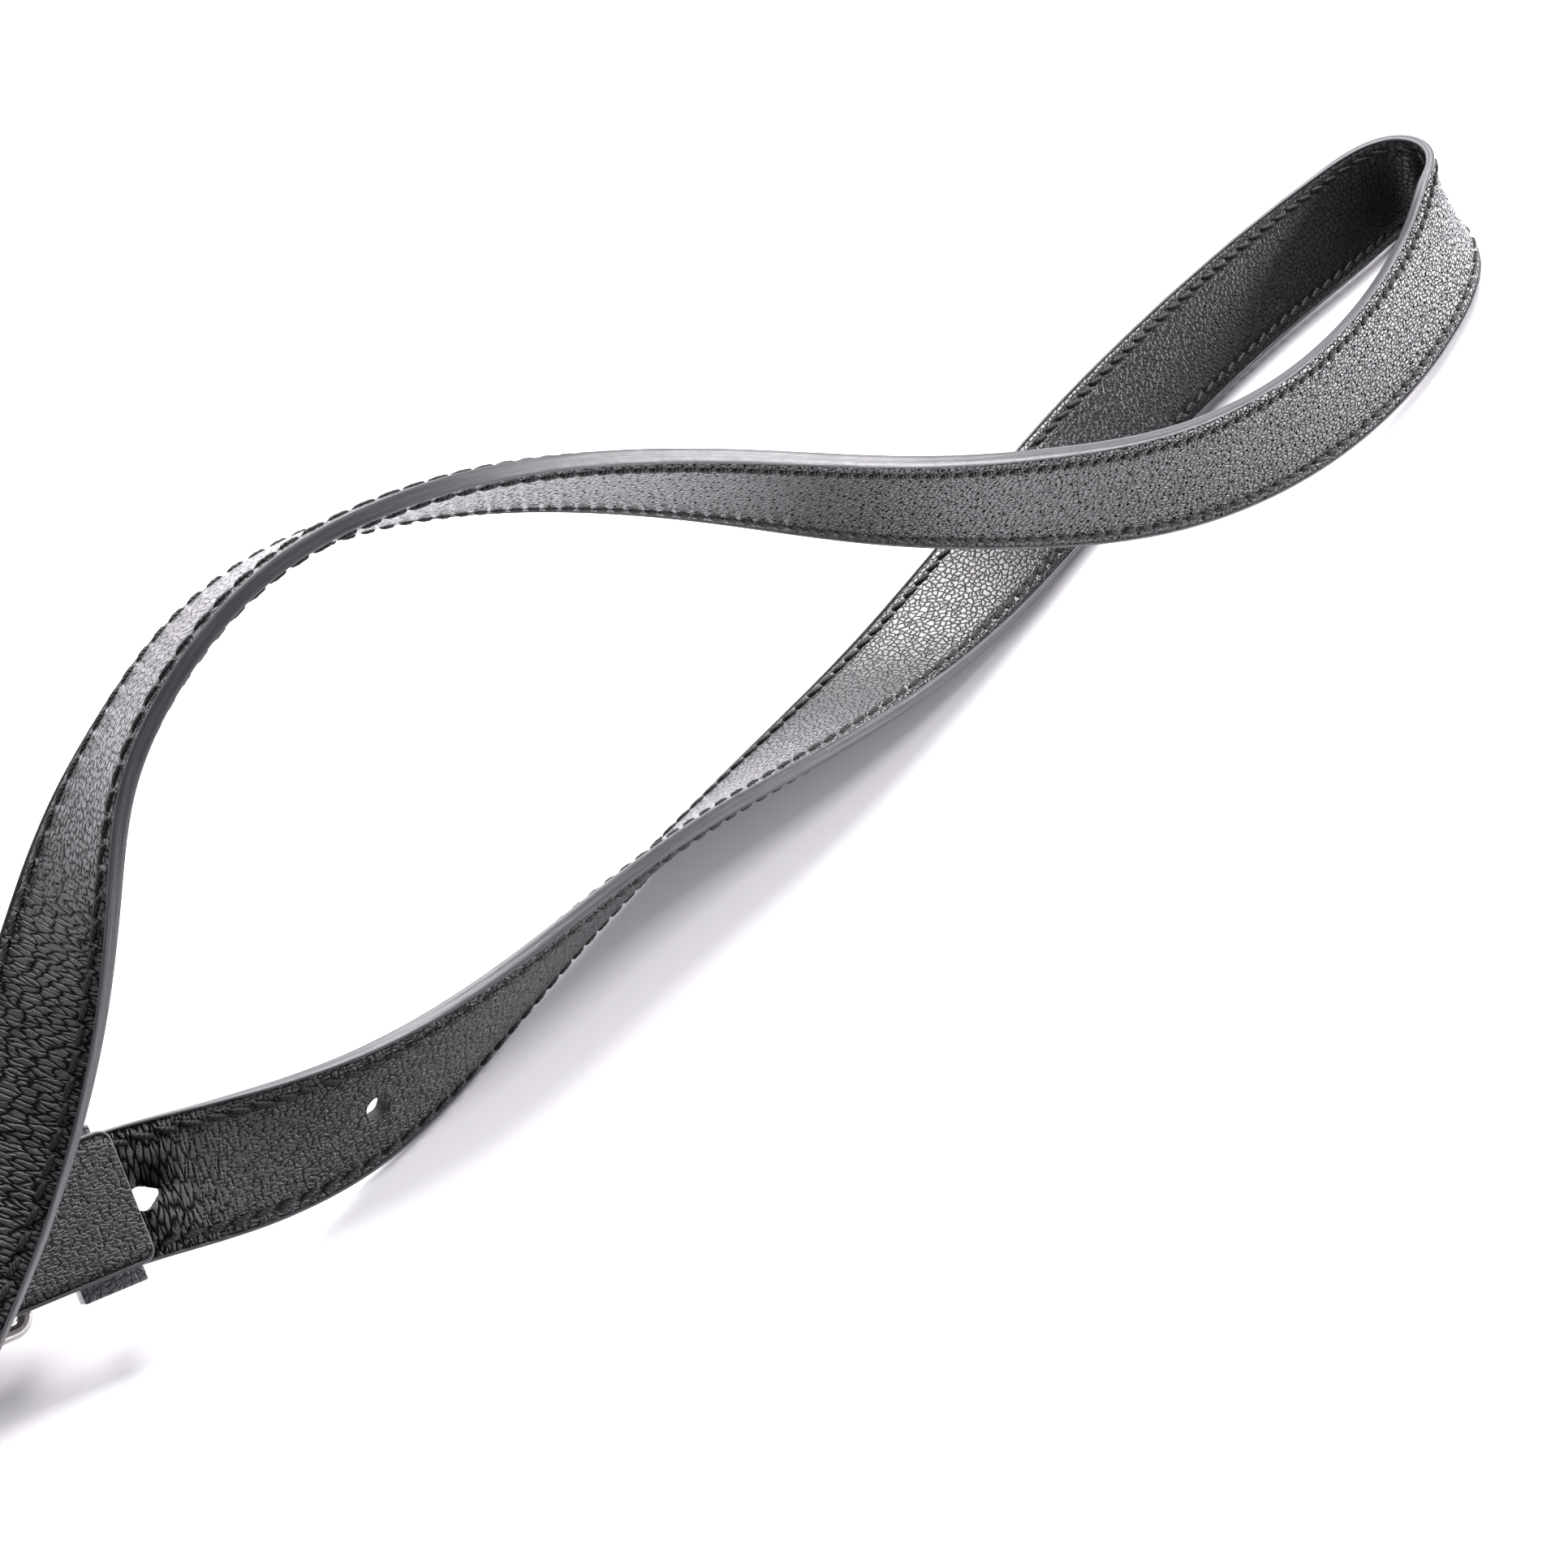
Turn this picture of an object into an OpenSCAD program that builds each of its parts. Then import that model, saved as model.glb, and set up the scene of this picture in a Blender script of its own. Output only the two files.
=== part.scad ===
// Adjustable leather strap: two stitched plies with painted edges, closed into a loop by a
// prong buckle. It lies as it is handled: one lobe on the table, one high arch, one bight.

/* [Strap] */
// Width of the strap over its painted edges
strap_w = 20; // [19:0.5:21]
// Thickness of each leather ply
ply_t = 1.3; // [1.2:0.05:1.4]
// Thickness of the reinforcement between the plies
core_t = 0.3; // [0.2:0.1:0.4]
// Thickness of the paint on each cut edge
paint_t = 0.25; // [0.2:0.05:0.3]

/* [Stitching] */
// Distance from the strap's edge to the middle of a stitch row
stitch_inset = 2.3; // [2:0.1:3]
// Width of the sewing thread
thread_w = 0.7; // [0.5:0.1:0.9]
// How far the thread stands proud of the leather
thread_proud = 0.3; // [0.2:0.05:0.4]

/* [Adjusting holes] */
// Diameter of a round adjusting hole
hole_d = 3.5; // [3:0.1:4]
// Length of the stretched hole at the backing's end
slit_l = 8; // [6:0.5:9]
// Length of the hole that the prong is in
prong_slot_l = 7; // [6.5:0.5:8]

/* [Keepers] */
// Width of the sewn keeper, along the strap
keeper_w = 9.5; // [8:0.5:10]
// Thickness of the keepers' leather
keeper_t = 1.2; // [1:0.1:1.3]
// Width of the sliding keeper, along the strap
slider_w = 9; // [8:0.5:10]

/* [Buckle] */
// Diameter of the bar that the frame and prong turn on
bar_d = 3; // [2.8:0.1:3.2]
// Diameter of the frame's round wire
wire_d = 2.5; // [2:0.1:2.8]
// Diameter of the prong
prong_d = 2.2; // [2:0.1:2.4]
// Clear width inside the frame
frame_clear = 21.5; // [21.5:0.5:23]

/* [Hidden] */
$fn = 48;

FACE_COLOUR = [0.10, 0.10, 0.11];
LINING_COLOUR = [0.34, 0.34, 0.35];
CORE_COLOUR = [0.25, 0.23, 0.22];
PAINT_COLOUR = [0.42, 0.42, 0.43];
THREAD_COLOUR = [0.05, 0.05, 0.06];
METAL_COLOUR = [0.72, 0.72, 0.74];

strap_t = 2 * ply_t + core_t;
half_w = strap_w / 2;
half_t = strap_t / 2;
running_gap = 0.05;   // radial clearance of what turns on the bar

// The closure is drawn lying flat: x runs along the strap from the backing's end towards the
// tip, y towards the upper edge, z out of the outer face, with z = 0 at the backing's middle.
closure_at = [-92, -99.5, 18];
closure_heading = 209;
closure_tilt = 140;

bar_at = [42, 4.45];        // the buckle bar, in the closure's x and z
end_bar_at = [19, 8.4];     // the frame's far bar
chape_end = 63;             // where the chape's two legs stop
keeper_x = 2;               // near side of the sewn keeper
slider_x = 81.5;            // near side of the sliding keeper
tip_gap = 3.7;              // height of the tip's middle where it lies on the backing
keeper_gap = 4.5;           // its height in the sewn keeper, over the keeper's inner leg

// Height of the tip part's middle over the backing's, from the backing's end to the tip:
// through the keeper, over the bar and chape, and down again.
TIP_PROFILE = [
    [0, keeper_gap], [12, keeper_gap], [22, 5], [32, 7], [42, 10.2], [52, 7.6],
    [62, 6.1], [72, 3.9], [82, tip_gap], [92, tip_gap], [102, tip_gap]
];

function rot_x(p, a) = [p[0], p[1] * cos(a) - p[2] * sin(a), p[1] * sin(a) + p[2] * cos(a)];
function rot_z(p, a) = [p[0] * cos(a) - p[1] * sin(a), p[0] * sin(a) + p[1] * cos(a), p[2]];
function closure_point(x, z) =
    concat(closure_at + rot_z(rot_x([x, 0, z], closure_tilt), closure_heading), [-closure_tilt]);

// The strap's middle line as control points: x, y, z and roll. At roll 0 the strap lies flat
// with its outer face up, and at roll 90 it stands on its lower edge.
FREE_ROUTE = [
    // the lobe beyond the tip, standing on its edge
    [-206, -176, 14.5, -122], [-209, -197, 10, -102], [-197, -217, 9.5, -90],
    [-175, -226, 10.5, -80], [-153, -218, 14, -64], [-138, -197, 18.5, -46],
    [-126, -170, 24, -30], [-116, -143, 30, -18],
    // the rise over the closure and the high arch
    [-107, -119, 38, -6], [-100, -103, 53, 6], [-95.5, -91, 68, 24], [-91, -81, 82, 37],
    [-82, -70, 94, 39], [-70.5, -58, 100, 42], [-52, -45, 100, 46], [-31, -26, 87.5, 48],
    [-8, -5, 68.5, 54], [17, 15, 47.5, 68], [42, 35, 31, 83],
    // the bight, leaning on its lower edge
    [67, 53, 19, 98], [90, 75.5, 12, 112], [107, 98, 9.5, 124], [118.5, 119, 8.5, 132],
    [126, 137.5, 8.5, 136], [126, 150, 10, 118], [116.5, 154.5, 10, 64],
    [105, 142.5, 8, 44], [88, 124, 7, 36], [70, 101, 6, 30], [53, 77, 5.5, 24],
    // the low run back to the closure, turning over on the way
    [38, 52, 4, 10], [21, 26.5, 3.5, -11], [6, 6.5, 6, -27], [-7, -9, 7.5, -42],
    [-19, -24, 9, -57], [-32, -42, 10, -68], [-45, -61, 10, -82], [-61, -79, 10, -105],
    [-79, -91, 13, -130]
];
BACKING_STEPS = [0, 20, 40, 60, 80, 100, 118];

ROUTE = concat(
    [for (x = BACKING_STEPS) closure_point(x, 0)],
    FREE_ROUTE,
    [for (p = TIP_PROFILE) closure_point(p[0], p[1])]
);
route_end = len(ROUTE) - 1;
tip_start = len(BACKING_STEPS) + len(FREE_ROUTE);   // the tip part's first control point

// Smooth curve through the control points: a uniform cubic B-spline, straight at both ends.
function control(i) =
    i < 0 ? 2 * ROUTE[0] - ROUTE[1]
    : i > route_end ? 2 * ROUTE[route_end] - ROUTE[route_end - 1]
    : ROUTE[i];
function route_at(t) =
    let (i = min(floor(t), route_end - 1), f = t - i, g = 1 - f)
    (control(i - 1) * g * g * g + control(i) * (3 * f * f * f - 6 * f * f + 4)
     + control(i + 1) * (3 * g * g * g - 6 * g * g + 4) + control(i + 2) * f * f * f) / 6;
function slope_at(t) =
    let (i = min(floor(t), route_end - 1), f = t - i, g = 1 - f)
    (-control(i - 1) * g * g + control(i) * (3 * f * f - 4 * f)
     + control(i + 1) * (4 * g - 3 * g * g) + control(i + 2) * f * f) / 2;

function xyz(p) = [p[0], p[1], p[2]];
function unit(v) = v / norm(v);
// Directions at t: along the strap, across it towards its lower edge, and out of its face.
function along_at(t) = unit(xyz(slope_at(t)));
function across_at(t) =
    let (a = along_at(t), side = unit(cross(a, [0, 0, 1])), rise = cross(side, a),
         roll = route_at(t)[3])
    cos(roll) * side + sin(roll) * rise;
function out_at(t) = cross(across_at(t), along_at(t));

// The backing's end is square with small corners, and the tip is rounded.
backing_corner = 2;
tip_corner = 8.5;
backing_step = 20;   // length of the route's first and last steps
tip_step = 10;
function rounded(half, r, d) = d >= r ? half : half - r + sqrt(max(0, r * r - (r - d) * (r - d)));
function width_share(t) =
    min(rounded(half_w, backing_corner, t * backing_step),
        rounded(half_w, tip_corner, (route_end - t) * tip_step)) / half_w;

RINGS_PER_STEP = 3;
STATIONS = concat(
    [0, 0.03, 0.1],
    [for (i = [1:(route_end - 1) * RINGS_PER_STEP]) i / RINGS_PER_STEP],
    [for (d = [0.8, 0.6, 0.4, 0.25, 0.12, 0.04, 0]) route_end - d]
);

// Ring of the box section from (y0, z0) to (y1, z1), y across and z out of the face.
function ring(t, y0, y1, z0, z1) =
    let (p = xyz(route_at(t)), y = across_at(t) * width_share(t), z = out_at(t))
    [p + y * y0 + z * z0, p + y * y1 + z * z0, p + y * y1 + z * z1, p + y * y0 + z * z1];

OUTLINE = [for (t = STATIONS) each ring(t, -half_w, half_w, -half_t, half_t)];
function axis_values(k) = [for (p = OUTLINE) p[k]];
// The origin is under the middle of the strap, on the surface it lies on.
origin_at = [
    (min(axis_values(0)) + max(axis_values(0))) / 2,
    (min(axis_values(1)) + max(axis_values(1))) / 2,
    min(axis_values(2))
];

// Where the adjusting holes are on the route
slit_t = tip_start;
first_hole_t = tip_start - 2.05;
prong_slot_t = tip_start + 3.7;
last_hole_t = tip_start + 6.8;

module place() {
    translate(-origin_at) children();
}

module in_closure() {
    place() translate(closure_at) rotate([0, 0, closure_heading]) rotate([closure_tilt, 0, 0])
        children();
}

// Children are drawn with x along the strap, y to its upper edge and z out of its outer face.
module on_route(t) {
    p = xyz(route_at(t)) - origin_at;
    x = along_at(t);
    y = -across_at(t);
    z = out_at(t);
    multmatrix([
        [x[0], y[0], z[0], p[0]],
        [x[1], y[1], z[1], p[1]],
        [x[2], y[2], z[2], p[2]],
        [0, 0, 0, 1]
    ]) children();
}

// A band of box section along the route between two stations. Opposite sides are split along
// matching diagonals, so that plies that touch have the same facets.
module ribbon(y0, y1, z0, z1, t0 = 0, t1 = route_end) {
    rings = [for (t = STATIONS) if (t >= t0 && t <= t1) ring(t, y0, y1, z0, z1)];
    last = len(rings) - 1;
    sides = [
        for (i = [0:last - 1], k = [0:3])
            let (a = 4 * i + k, b = 4 * i + (k + 1) % 4)
            each k < 2 ? [[a, a + 4, b + 4], [a, b + 4, b]] : [[a, a + 4, b], [a + 4, b + 4, b]]
    ];
    ends = [[0, 1, 2, 3], [4 * last + 3, 4 * last + 2, 4 * last + 1, 4 * last]];
    place() polyhedron(points = [for (r = rings) each r], faces = concat(sides, ends));
}

module slot_cutter(length, width) {
    depth = 4 * strap_t;
    run = length - width;
    translate([-run / 2, -width / 2, -depth / 2]) cube([run, width, depth]);
    for (s = [-1, 1])
        translate([s * run / 2, 0, -depth / 2]) cylinder(d = width, h = depth);
}

module hole_cutters() {
    on_route(first_hole_t) cylinder(d = hole_d, h = 4 * strap_t, center = true);
    on_route(slit_t) slot_cutter(slit_l, 2.4);
    on_route(prong_slot_t) slot_cutter(prong_slot_l, prong_d + 0.8);
    on_route(last_hole_t) cylinder(d = hole_d, h = 4 * strap_t, center = true);
}

module strap_face() {
    color(FACE_COLOUR) difference() {
        ribbon(-half_w + paint_t, half_w - paint_t, core_t / 2, half_t);
        hole_cutters();
    }
}

module strap_reinforcement() {
    color(CORE_COLOUR) difference() {
        ribbon(-half_w + paint_t, half_w - paint_t, -core_t / 2, core_t / 2);
        hole_cutters();
    }
}

module strap_lining() {
    color(LINING_COLOUR) difference() {
        ribbon(-half_w + paint_t, half_w - paint_t, -half_t, -core_t / 2);
        hole_cutters();
    }
}

module edge_paint_upper() {
    color(PAINT_COLOUR) ribbon(-half_w, -half_w + paint_t, -half_t, half_t);
}

module edge_paint_lower() {
    color(PAINT_COLOUR) ribbon(half_w - paint_t, half_w, -half_t, half_t);
}

// The rows start past the chape and stop short of the tip.
stitch_start_t = 3.4;
stitch_end_t = route_end - 1;

// One row seen from both sides: the top thread on the face, the bobbin thread on the lining.
module stitch_row(side) {
    y = side * (half_w - stitch_inset);
    for (s = [-1, 1])
        ribbon(y - thread_w / 2, y + thread_w / 2,
               s > 0 ? half_t - 0.05 : -half_t - thread_proud,
               s > 0 ? half_t + thread_proud : -half_t + 0.05,
               stitch_start_t, stitch_end_t);
}

module stitching_upper() {
    color(THREAD_COLOUR) stitch_row(-1);
}

module stitching_lower() {
    color(THREAD_COLOUR) stitch_row(1);
}

module rounded_rect(low, high, r) {
    translate(low + [r, 0]) square([high[0] - low[0] - 2 * r, high[1] - low[1]]);
    translate(low + [0, r]) square([high[0] - low[0], high[1] - low[1] - 2 * r]);
    for (x = [low[0] + r, high[0] - r], y = [low[1] + r, high[1] - r])
        translate([x, y]) circle(r = r);
}

// A flat leather loop round the strap: its window runs from low to high in y and z.
module leather_loop(x, length, low, high, t) {
    translate([x, 0, 0]) rotate([90, 0, 90]) linear_extrude(length) difference() {
        rounded_rect(low - [t, t], high + [t, t], 1.6);
        rounded_rect(low, high, 0.5);
    }
}

keeper_low = [-half_w - 1.2, half_t + 1.15];
keeper_high = [half_w + 0.3, keeper_gap + half_t + 0.6];
slider_low = [-half_w - 0.3, -half_t - 0.5];
slider_high = [half_w + 0.3, tip_gap + half_t + 0.5];

module fixed_keeper() {
    color(LINING_COLOUR) in_closure()
        leather_loop(keeper_x, keeper_w, keeper_low, keeper_high, keeper_t - 0.15);
}

// Two bars of thread that hold the keeper's inner leg to the backing.
module keeper_stitching() {
    color(THREAD_COLOUR) in_closure()
        for (x = [keeper_x + 1.8, keeper_x + keeper_w - 1.8])
            translate([x, 0, keeper_low[1]]) rotate([90, 0, 0])
                cylinder(d = 0.5, h = strap_w - 4 * stitch_inset, center = true);
}

module sliding_keeper() {
    color(LINING_COLOUR) in_closure()
        leather_loop(slider_x, slider_w, slider_low, slider_high, keeper_t);
}

// The crossed threads that close the sliding keeper's butt joint, on its outer side.
module slider_stitching() {
    color(THREAD_COLOUR) in_closure()
        for (k = [-1, 0, 1])
            translate([slider_x + slider_w / 2 + 2.5 * k, 0, slider_high[1] + keeper_t])
                rotate([90, 0, 0]) cylinder(d = 0.5, h = 4, center = true);
}

// Leather folded round the bar, with a slot for the prong and both legs sewn to the backing.
chape_t = 1.2;
chape_w = 18;
prong_slot = 4.6;
chape_in_r = bar_d / 2 + 0.15;
chape_out_r = chape_in_r + chape_t;
chape_low = bar_at[1] - chape_out_r;
module chape_profile() {
    difference() {
        union() {
            translate(bar_at) circle(r = chape_out_r);
            translate([bar_at[0], chape_low]) square([chape_end - bar_at[0], chape_t]);
            polygon([
                [bar_at[0] + 1, bar_at[1] + chape_out_r - 0.2],
                [bar_at[0] + 9, chape_low + 2 * chape_t],
                [chape_end, chape_low + 2 * chape_t],
                [chape_end, chape_low + chape_t],
                [bar_at[0] + 8, chape_low + chape_t],
                [bar_at[0] + 1, chape_low + chape_t]
            ]);
        }
        translate(bar_at) circle(r = chape_in_r);
        polygon([
            [bar_at[0] + 1, bar_at[1] + chape_in_r - 0.2],
            [bar_at[0] + 6.5, chape_low + chape_t],
            [bar_at[0] + 1, chape_low + chape_t]
        ]);
    }
}

module chape() {
    color(LINING_COLOUR) in_closure() difference() {
        translate([0, chape_w / 2, 0]) rotate([90, 0, 0]) linear_extrude(chape_w) chape_profile();
        // the slot for the prong: in the fold and the upper leg, then through the lower leg
        translate([bar_at[0] - 6, -prong_slot / 2, chape_low + chape_t]) cube([13, prong_slot, 8]);
        translate([bar_at[0] - 6, -prong_slot / 2, chape_low - 1]) cube([9.5, prong_slot, 8]);
    }
}

module chape_stitching() {
    color(THREAD_COLOUR) in_closure()
        for (x = [chape_end - 9, chape_end - 5.5, chape_end - 2], y = [-6, 6])
            translate([x, y, chape_low + 2 * chape_t])
                rotate([0, 90, 0]) cylinder(d = 0.5, h = 2.4, center = true);
}

module along_y(x, z, d, length) {
    translate([x, length / 2, z]) rotate([90, 0, 0]) cylinder(d = d, h = length);
}

// A round rod between two points of the closure's x-z plane, at one y.
module rod(a, b, y, d) {
    run = norm(b - a);
    translate([a[0], y, a[1]]) rotate([0, atan2(b[0] - a[0], b[1] - a[1]), 0])
        cylinder(d = d, h = run);
}

frame_y = frame_clear / 2 + wire_d / 2;
module buckle_bar() {
    color(METAL_COLOUR) in_closure()
        along_y(bar_at[0], bar_at[1], bar_d, 2 * frame_y + wire_d + 0.6);
}

module buckle_frame() {
    eye_d = bar_d + 2 * running_gap + 2.1;
    bore_d = bar_d + 2 * running_gap;
    far_bar_d = wire_d + 0.2;
    direction = unit(end_bar_at - bar_at);
    color(METAL_COLOUR) in_closure() difference() {
        union() {
            for (s = [-1, 1]) {
                translate([0, s * frame_y, 0]) along_y(bar_at[0], bar_at[1], eye_d, wire_d);
                rod(bar_at + direction * 2, end_bar_at, s * frame_y, wire_d);
            }
            along_y(end_bar_at[0], end_bar_at[1], far_bar_d, 2 * frame_y + far_bar_d);
        }
        along_y(bar_at[0], bar_at[1], bore_d, 2 * frame_y + 2 * wire_d);
    }
}

// The prong rises steeply through the strap, then runs flat over the frame's far bar.
PRONG_PATH = [[40.5, 6.2], [37.4, 10.4], [34.2, 11.4], [19, 10.95], [16.4, 10.5]];
prong_end = len(PRONG_PATH) - 1;
function path_direction(i) =
    unit(PRONG_PATH[min(i + 1, prong_end)] - PRONG_PATH[max(i - 1, 0)]);
function prong_side(i, s) =
    PRONG_PATH[i] + s * prong_d / 2 * [-path_direction(i)[1], path_direction(i)[0]];
module buckle_prong() {
    outline = concat(
        [for (i = [0:prong_end]) prong_side(i, 1)],
        [for (i = [prong_end:-1:0]) prong_side(i, -1)]
    );
    color(METAL_COLOUR) in_closure() difference() {
        union() {
            along_y(bar_at[0], bar_at[1], bar_d + 2 * running_gap + 2, 3);
            translate([0, prong_d / 2, 0]) rotate([90, 0, 0]) linear_extrude(prong_d)
                polygon(outline);
        }
        along_y(bar_at[0], bar_at[1], bar_d + 2 * running_gap, 4);
    }
}

strap_face();
strap_reinforcement();
strap_lining();
edge_paint_upper();
edge_paint_lower();
stitching_upper();
stitching_lower();
fixed_keeper();
keeper_stitching();
sliding_keeper();
slider_stitching();
chape();
chape_stitching();
buckle_bar();
buckle_frame();
buckle_prong();
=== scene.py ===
"""Looks of an adjustable leather strap that a prong buckle closes into a loop."""

import math
import random

import bmesh
import bpy
import numpy as np
from mathutils import Matrix, Vector


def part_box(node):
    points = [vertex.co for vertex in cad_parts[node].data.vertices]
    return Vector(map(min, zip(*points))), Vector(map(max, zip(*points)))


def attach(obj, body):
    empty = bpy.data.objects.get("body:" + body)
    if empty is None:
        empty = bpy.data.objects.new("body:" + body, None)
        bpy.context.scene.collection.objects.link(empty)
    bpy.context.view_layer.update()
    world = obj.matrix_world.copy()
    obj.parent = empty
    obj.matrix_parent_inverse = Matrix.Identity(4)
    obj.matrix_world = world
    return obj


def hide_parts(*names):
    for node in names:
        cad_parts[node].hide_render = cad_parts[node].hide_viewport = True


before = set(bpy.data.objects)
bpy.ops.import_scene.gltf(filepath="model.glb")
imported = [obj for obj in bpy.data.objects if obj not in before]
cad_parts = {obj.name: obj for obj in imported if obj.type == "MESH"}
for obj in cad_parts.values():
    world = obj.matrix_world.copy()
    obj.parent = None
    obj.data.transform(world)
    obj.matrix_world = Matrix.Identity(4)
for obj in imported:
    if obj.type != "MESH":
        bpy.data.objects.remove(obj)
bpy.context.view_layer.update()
bpy.ops.object.select_all(action="DESELECT")

MM = 0.001

# Sizes of the strap, in millimetres
STRAP_W, PLY_T, CORE_T, PAINT_T = 20.0, 1.3, 0.3, 0.25
HALF_W = STRAP_W / 2
HALF_T = PLY_T + CORE_T / 2
STITCH_INSET, STITCH_PITCH = 2.3, 3.6
STITCH_V = HALF_W - STITCH_INSET
BACKING_CORNER, TIP_CORNER = 2.0, 8.5

# The closure's own frame: x along the strap from the backing's end, y to the upper edge,
# z out of the outer face.
CLOSURE_AT = (-92, -99.5, 18)
CLOSURE_HEADING = 209
CLOSURE_TILT = 140
TIP_GAP, KEEPER_GAP = 3.7, 4.5
KEEPER_X, KEEPER_W = 2, 9.5
SLIDER_X, SLIDER_W = 81.5, 9
KEEPER_T = 1.2
BAR_AT, END_BAR_AT = (42, 4.45), (19, 8.4)
BAR_D, WIRE_D, PRONG_D = 3.0, 2.5, 2.2
FRAME_CLEAR = 21.5
CHAPE_END, CHAPE_T, CHAPE_W = 63, 1.2, 18
CHAPE_INNER_R = BAR_D / 2 + 0.15
PRONG_PATH = [(40.5, 6.2), (37.4, 10.4), (34.2, 11.4), (19, 10.95), (16.4, 10.5)]

TIP_PROFILE = [
    (0, KEEPER_GAP), (12, KEEPER_GAP), (22, 5), (32, 7), (42, 10.2), (52, 7.6),
    (62, 6.1), (72, 3.9), (82, TIP_GAP), (92, TIP_GAP), (102, TIP_GAP),
]
BACKING_STEPS = [0, 20, 40, 60, 80, 100, 118]
FREE_ROUTE = [
    # the lobe beyond the tip, standing on its edge
    (-206, -176, 14.5, -122), (-209, -197, 10, -102), (-197, -217, 9.5, -90),
    (-175, -226, 10.5, -80), (-153, -218, 14, -64), (-138, -197, 18.5, -46),
    (-126, -170, 24, -30), (-116, -143, 30, -18),
    # the rise over the closure and the high arch
    (-107, -119, 38, -6), (-100, -103, 53, 6), (-95.5, -91, 68, 24), (-91, -81, 82, 37),
    (-82, -70, 94, 39), (-70.5, -58, 100, 42), (-52, -45, 100, 46), (-31, -26, 87.5, 48),
    (-8, -5, 68.5, 54), (17, 15, 47.5, 68), (42, 35, 31, 83),
    # the bight, leaning on its lower edge
    (67, 53, 19, 98), (90, 75.5, 12, 112), (107, 98, 9.5, 124), (118.5, 119, 8.5, 132),
    (126, 137.5, 8.5, 136), (126, 150, 10, 118), (116.5, 154.5, 10, 64),
    (105, 142.5, 8, 44), (88, 124, 7, 36), (70, 101, 6, 30), (53, 77, 5.5, 24),
    # the low run back to the closure, turning over on the way
    (38, 52, 4, 10), (21, 26.5, 3.5, -11), (6, 6.5, 6, -27), (-7, -9, 7.5, -42),
    (-19, -24, 9, -57), (-32, -42, 10, -68), (-45, -61, 10, -82), (-61, -79, 10, -105),
    (-79, -91, 13, -130),
]
TIP_START = len(BACKING_STEPS) + len(FREE_ROUTE)

closure_turn = (
    Matrix.Translation(CLOSURE_AT)
    @ Matrix.Rotation(math.radians(CLOSURE_HEADING), 4, "Z")
    @ Matrix.Rotation(math.radians(CLOSURE_TILT), 4, "X")
)


def closure_point(x, z):
    return (*(closure_turn @ Vector((x, 0, z))), -CLOSURE_TILT)


ROUTE = np.array(
    [closure_point(x, 0) for x in BACKING_STEPS]
    + FREE_ROUTE
    + [closure_point(x, z) for x, z in TIP_PROFILE]
)
ROUTE_END = len(ROUTE) - 1


def route_at(t):
    """Points and rolls, and slopes, of the uniform cubic B-spline through the route."""
    guides = np.vstack([2 * ROUTE[0] - ROUTE[1], ROUTE, 2 * ROUTE[-1] - ROUTE[-2]])
    i = np.clip(np.floor(t).astype(int), 0, ROUTE_END - 1)
    f = (t - i)[:, None]
    g = 1 - f
    a, b, c, d = (guides[i + k] for k in range(4))
    point = (a * g**3 + b * (3 * f**3 - 6 * f**2 + 4) + c * (3 * g**3 - 6 * g**2 + 4)
             + d * f**3) / 6
    slope = (-a * g**2 + b * (3 * f**2 - 4 * f) + c * (4 * g - 3 * g**2) + d * f**2) / 2
    return point, slope


def unit(v):
    """Each row of v, made 1 long."""
    return v / np.linalg.norm(v, axis=1, keepdims=True)


def strap_frame(t):
    """Middle points and the directions along, across (to the lower edge) and out."""
    point, slope = route_at(t)
    along = unit(slope[:, :3])
    side = unit(np.cross(along, (0, 0, 1)))
    rise = np.cross(side, along)
    roll = np.radians(point[:, 3])[:, None]
    across = np.cos(roll) * side + np.sin(roll) * rise
    return point[:, :3], along, across, np.cross(across, along)


T_TABLE = np.linspace(0, ROUTE_END, ROUTE_END * 60 + 1)
MIDDLE, ALONG, ACROSS, OUT = strap_frame(T_TABLE)
S_TABLE = np.concatenate([[0], np.cumsum(np.linalg.norm(np.diff(MIDDLE, axis=0), axis=1))])
LENGTH = S_TABLE[-1]


def s_of(t):
    """Distance along the strap, from the backing's end, of the route's place t."""
    return float(np.interp(t, T_TABLE, S_TABLE))


def cad_shift():
    """From the route's own coordinates to the frame's, by the box of the lower edge paint."""
    rings = 3
    t = np.array(
        [0, 0.03, 0.1]
        + [i / rings for i in range(1, (ROUTE_END - 1) * rings + 1)]
        + [ROUTE_END - d for d in (0.8, 0.6, 0.4, 0.25, 0.12, 0.04, 0)]
    )
    point, _, across, out = strap_frame(t)
    start = rounded(HALF_W, BACKING_CORNER, t * BACKING_STEPS[1])
    share = np.minimum(start, rounded(HALF_W, TIP_CORNER, (ROUTE_END - t) * 10)) / HALF_W
    across = across * share[:, None]
    corners = np.concatenate(
        [point + across * y + out * z
         for y in (HALF_W - PAINT_T, HALF_W) for z in (-HALF_T, HALF_T)]
    )
    low, high = (np.array(corner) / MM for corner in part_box("edge_paint_lower"))
    return ((low - corners.min(0)) + (high - corners.max(0))) / 2


def rounded(half, radius, distance):
    """Half width of a strap end with rounded corners, at a distance from its end."""
    d = np.clip(distance, 0, radius)
    return half - radius + np.sqrt(radius**2 - (radius - d) ** 2)


SHIFT = cad_shift()
closure_matrix = Matrix.Scale(MM, 4) @ Matrix.Translation(SHIFT) @ closure_turn

# Where the adjusting holes are, along the strap
FIRST_HOLE_S = s_of(TIP_START - 2.05)
STRETCHED_HOLE_S = s_of(TIP_START)
PRONG_SLOT_S = s_of(TIP_START + 3.7)
LAST_HOLE_S = s_of(TIP_START + 6.8)


def bell(x, width):
    """1 at zero, falling smoothly to nothing within a few widths."""
    return np.exp(-((x / width) ** 2))


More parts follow.
